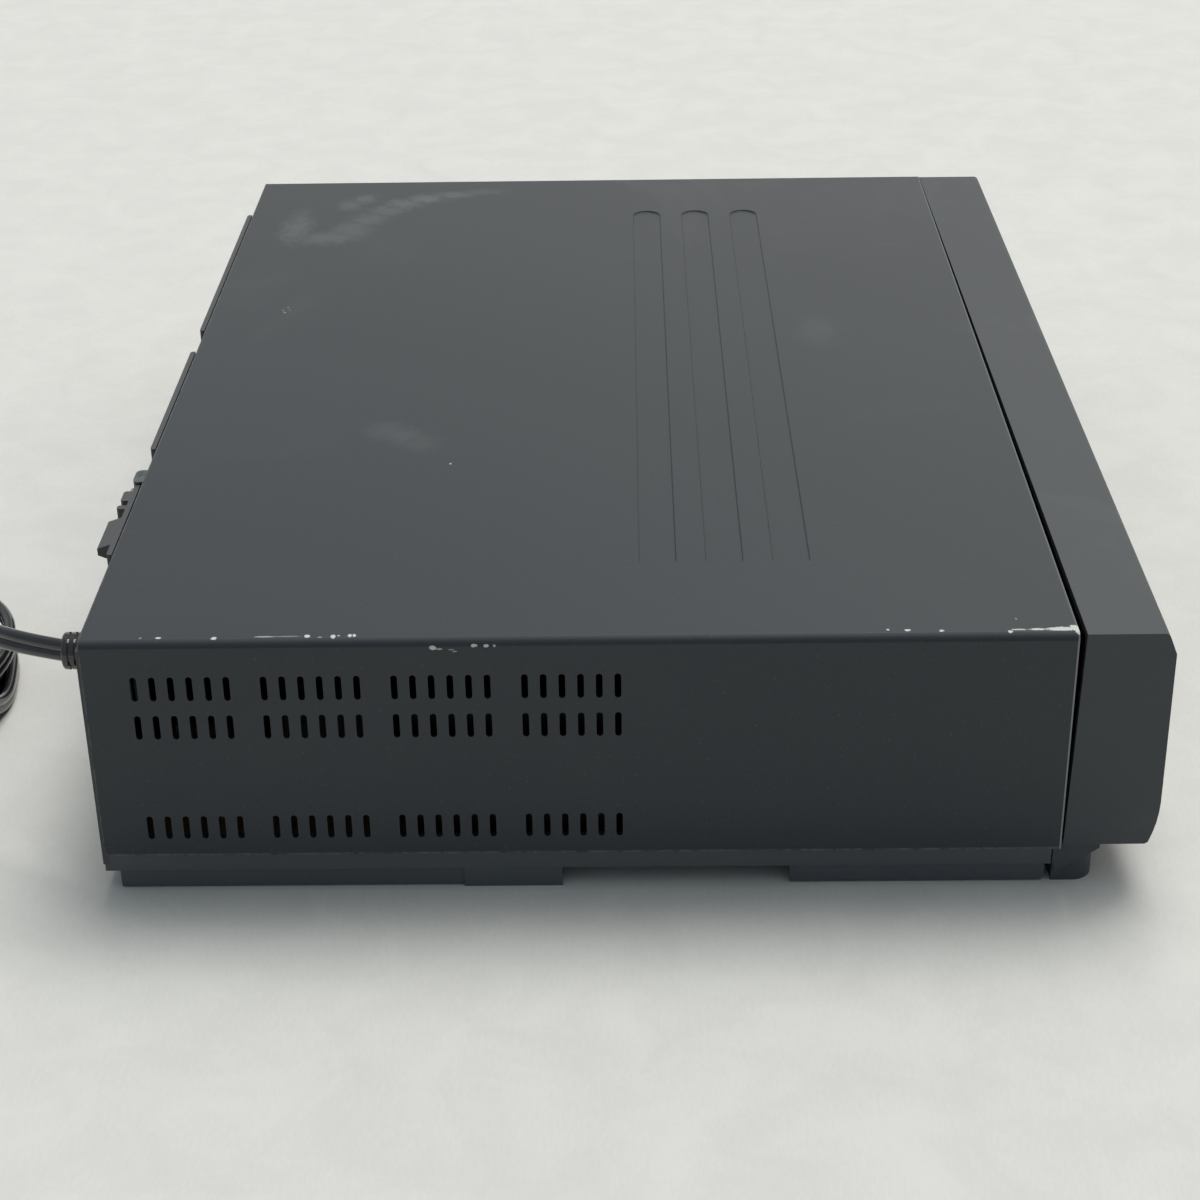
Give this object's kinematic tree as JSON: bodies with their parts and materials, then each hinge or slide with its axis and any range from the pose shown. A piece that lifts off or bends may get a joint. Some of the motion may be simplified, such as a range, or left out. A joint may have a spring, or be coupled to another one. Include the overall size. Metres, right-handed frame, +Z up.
{
  "type": "video cassette recorder",
  "caption": "Flat table-top video cassette recorder: steel cover with slotted sides, plastic front with a cassette flap and keys, a tape deck inside and a coiled mains lead.",
  "frame": {"origin": "on the table, at the middle of the machine's width and depth with the cord left out", "axes": "+X to the right as seen from the front, +Y towards the rear, +Z up"},
  "size_m": [0.43, 0.4881, 0.09],
  "materials": {
    "cover_paint": "fine textured dark grey enamel",
    "bezel_plastic": "fine spark texture",
    "chassis_plastic": "plain moulded",
    "panel_plastic": "plain moulded",
    "key_plastic": "smooth moulded",
    "screw_steel": "blackened",
    "plate_steel": "zinc plated",
    "window_smoke": "polished smoke",
    "display_glass": "dark glass",
    "board_resin": "paper resin board",
    "chip_plastic": "moulded",
    "ribbon_vinyl": "flexible",
    "connector_nickel": "nickel plated",
    "socket_plastic": "moulded",
    "ferrite": "matt ferrite and winding",
    "capacitor_sleeve": "shrink sleeve",
    "sink_aluminium": "mill finish",
    "fuse_glass": "clear tube",
    "drum_aluminium": "polished",
    "bearing_brass": "turned",
    "motor_steel": "bright",
    "roller_rubber": "ground",
    "gear_plastic": "natural acetal",
    "reel_plastic": "moulded",
    "head_metal": "lapped",
    "spring_steel": "bright wire",
    "cord_vinyl": "glossy vinyl"
  },
  "bodies": {
    "chassis": {"base_chassis": "chassis_plastic", "bottom_plate": "plate_steel", "top_cover": "cover_paint", "front_bezel": "bezel_plastic", "rear_panel": "panel_plastic", "cover_screws": "screw_steel", "chassis_screws": "screw_steel", "flap_spring": "spring_steel", "display_window": "window_smoke", "display_panel": "display_glass", "front_board": "board_resin", "front_board_parts": "chip_plastic", "main_board": "board_resin", "board_chips": "chip_plastic", "ribbon_cable": "ribbon_vinyl", "tuner_module": "connector_nickel", "av_jacks": "socket_plastic", "power_board": "board_resin", "power_transformer": "ferrite", "filter_capacitors": "capacitor_sleeve", "power_heatsink": "sink_aluminium", "mains_fuse": "fuse_glass", "deck_plate": "plate_steel", "lower_drum": "drum_aluminium", "capstan_housing": "bearing_brass", "capstan_motor_board": "board_resin", "reel_belt": "roller_rubber", "loading_motor": "motor_steel", "tape_heads": "head_metal", "carriage_frame": "plate_steel", "cord_bushing": "cord_vinyl", "power_cord": "cord_vinyl", "cord_coil": "cord_vinyl", "power_plug": "cord_vinyl"},
    "cassette_flap": {"cassette_flap": "bezel_plastic"},
    "channel_rocker": {"channel_rocker": "key_plastic"},
    "channel_switch": {"channel_switch": "key_plastic"},
    "upper_drum": {"upper_drum": "drum_aluminium"},
    "capstan": {"capstan": "motor_steel"},
    "pinch_arm": {"pinch_arm": "plate_steel"},
    "pinch_roller": {"pinch_roller": "roller_rubber"},
    "supply_reel": {"supply_reel": "reel_plastic"},
    "takeup_reel": {"takeup_reel": "reel_plastic"},
    "clutch_pulley": {"clutch_pulley": "gear_plastic"},
    "idler_arm": {"idler_arm": "plate_steel"},
    "idler_wheel": {"idler_wheel": "roller_rubber"},
    "cam_gear": {"cam_gear": "gear_plastic"},
    "loading_gear": {"loading_gear": "gear_plastic"},
    "supply_guide": {"supply_guide": "head_metal"},
    "takeup_guide": {"takeup_guide": "head_metal"},
    "tension_arm": {"tension_arm": "plate_steel"},
    "carriage_slider": {"carriage_slider": "plate_steel"},
    "cassette_carriage": {"cassette_carriage": "plate_steel"},
    "power_button": {"power_button": "key_plastic"},
    "stop_eject_button": {"stop_eject_button": "key_plastic"},
    "play_button": {"play_button": "key_plastic"},
    "rewind_button": {"rewind_button": "key_plastic"},
    "fast_forward_button": {"fast_forward_button": "key_plastic"},
    "record_button": {"record_button": "key_plastic"}
  },
  "joints": [
    {"name": "flap_hinge", "type": "hinge", "parent": "chassis", "child": "cassette_flap", "pos_m": [0, -0.1638, 0.0805], "axis": [1, 0, 0], "range_deg": [0, 90], "stiffness_Nm_per_rad": 0.004, "springref_deg": -34.38},
    {"name": "power_press", "type": "slide", "parent": "chassis", "child": "power_button", "axis": [0, 1, 0], "range_m": [0, 0.0012], "stiffness_N_per_m": 500, "springref_m": -0.001},
    {"name": "stop_eject_press", "type": "slide", "parent": "chassis", "child": "stop_eject_button", "axis": [0, 1, 0], "range_m": [0, 0.0012], "stiffness_N_per_m": 500, "springref_m": -0.001},
    {"name": "play_press", "type": "slide", "parent": "chassis", "child": "play_button", "axis": [0, 1, 0], "range_m": [0, 0.0012], "stiffness_N_per_m": 500, "springref_m": -0.001},
    {"name": "rewind_press", "type": "slide", "parent": "chassis", "child": "rewind_button", "axis": [0, 1, 0], "range_m": [0, 0.0012], "stiffness_N_per_m": 500, "springref_m": -0.001},
    {"name": "fast_forward_press", "type": "slide", "parent": "chassis", "child": "fast_forward_button", "axis": [0, 1, 0], "range_m": [0, 0.0012], "stiffness_N_per_m": 500, "springref_m": -0.001},
    {"name": "record_press", "type": "slide", "parent": "chassis", "child": "record_button", "axis": [0, 1, 0], "range_m": [0, 0.0012], "stiffness_N_per_m": 500, "springref_m": -0.001},
    {"name": "channel_rock", "type": "hinge", "parent": "chassis", "child": "channel_rocker", "pos_m": [-0.162, -0.163, 0.033], "axis": [0, 0, 1], "range_deg": [-3, 3], "stiffness_Nm_per_rad": 0.08},
    {"name": "channel_select", "type": "slide", "parent": "chassis", "child": "channel_switch", "axis": [1, 0, 0], "range_m": [0, 0.004]},
    {"name": "drum_spin", "type": "hinge", "parent": "chassis", "child": "upper_drum", "pos_m": [-0.008, 0.0221, 0.041], "axis": [0, 0.1028, 0.9947], "continuous": true},
    {"name": "capstan_spin", "type": "hinge", "parent": "chassis", "child": "capstan", "pos_m": [0.044, -0.0144, 0.0162], "axis": [0, 0, 1], "continuous": true},
    {"name": "clutch_spin", "type": "hinge", "parent": "chassis", "child": "clutch_pulley", "pos_m": [0, -0.0499, 0.0222], "axis": [0, 0, 1], "continuous": true},
    {"name": "idler_swing", "type": "hinge", "parent": "chassis", "child": "idler_arm", "pos_m": [0, -0.0499, 0.032], "axis": [0, 0, 1], "range_deg": [-45, 45]},
    {"name": "idler_spin", "type": "hinge", "parent": "idler_arm", "child": "idler_wheel", "pos_m": [0, -0.0759, 0.0339], "axis": [0, 0, 1], "continuous": true},
    {"name": "supply_spin", "type": "hinge", "parent": "chassis", "child": "supply_reel", "pos_m": [-0.04625, -0.0759, 0.034], "axis": [0, 0, 1], "continuous": true},
    {"name": "takeup_spin", "type": "hinge", "parent": "chassis", "child": "takeup_reel", "pos_m": [0.04625, -0.0759, 0.034], "axis": [0, 0, 1], "continuous": true},
    {"name": "pinch_swing", "type": "hinge", "parent": "chassis", "child": "pinch_arm", "pos_m": [0.066, 0.0116, 0.032], "axis": [0, 0, 1], "range_deg": [-30, 0]},
    {"name": "pinch_spin", "type": "hinge", "parent": "pinch_arm", "child": "pinch_roller", "pos_m": [0.068, -0.01727, 0.0435], "axis": [0, 0, 1], "continuous": true},
    {"name": "mode_cam", "type": "hinge", "parent": "chassis", "child": "cam_gear", "pos_m": [0.07, 0.0466, 0.0324], "axis": [0, 0, 1], "range_deg": [0, 270]},
    {"name": "loading_drive", "type": "hinge", "parent": "chassis", "child": "loading_gear", "pos_m": [0.038, 0.0466, 0.0324], "axis": [0, 0, 1], "range_deg": [-810, 0]},
    {"name": "supply_load", "type": "slide", "parent": "chassis", "child": "supply_guide", "axis": [-0.3243, 0.9459, 0], "range_m": [0, 0.0555]},
    {"name": "takeup_load", "type": "slide", "parent": "chassis", "child": "takeup_guide", "axis": [0.0381, 0.9993, 0], "range_m": [0, 0.05254]},
    {"name": "tension_swing", "type": "hinge", "parent": "chassis", "child": "tension_arm", "pos_m": [-0.08, -0.0104, 0.032], "axis": [0, 0, 1], "range_deg": [-15, 10]},
    {"name": "carriage_travel", "type": "slide", "parent": "chassis", "child": "carriage_slider", "axis": [0, 1, 0], "range_m": [0, 0.05]},
    {"name": "carriage_drop", "type": "slide", "parent": "carriage_slider", "child": "cassette_carriage", "axis": [0, 0, -1], "range_m": [0, 0.0146]}
  ],
  "couplings": [
    {"joint": "clutch_spin", "follows": "capstan_spin", "ratio": 0.66667},
    {"joint": "idler_spin", "follows": "capstan_spin", "ratio": -0.76111},
    {"joint": "loading_drive", "follows": "mode_cam", "ratio": -3},
    {"joint": "supply_load", "follows": "mode_cam", "m_per_rad": 0.011777},
    {"joint": "takeup_load", "follows": "mode_cam", "m_per_rad": 0.011149}
  ]
}
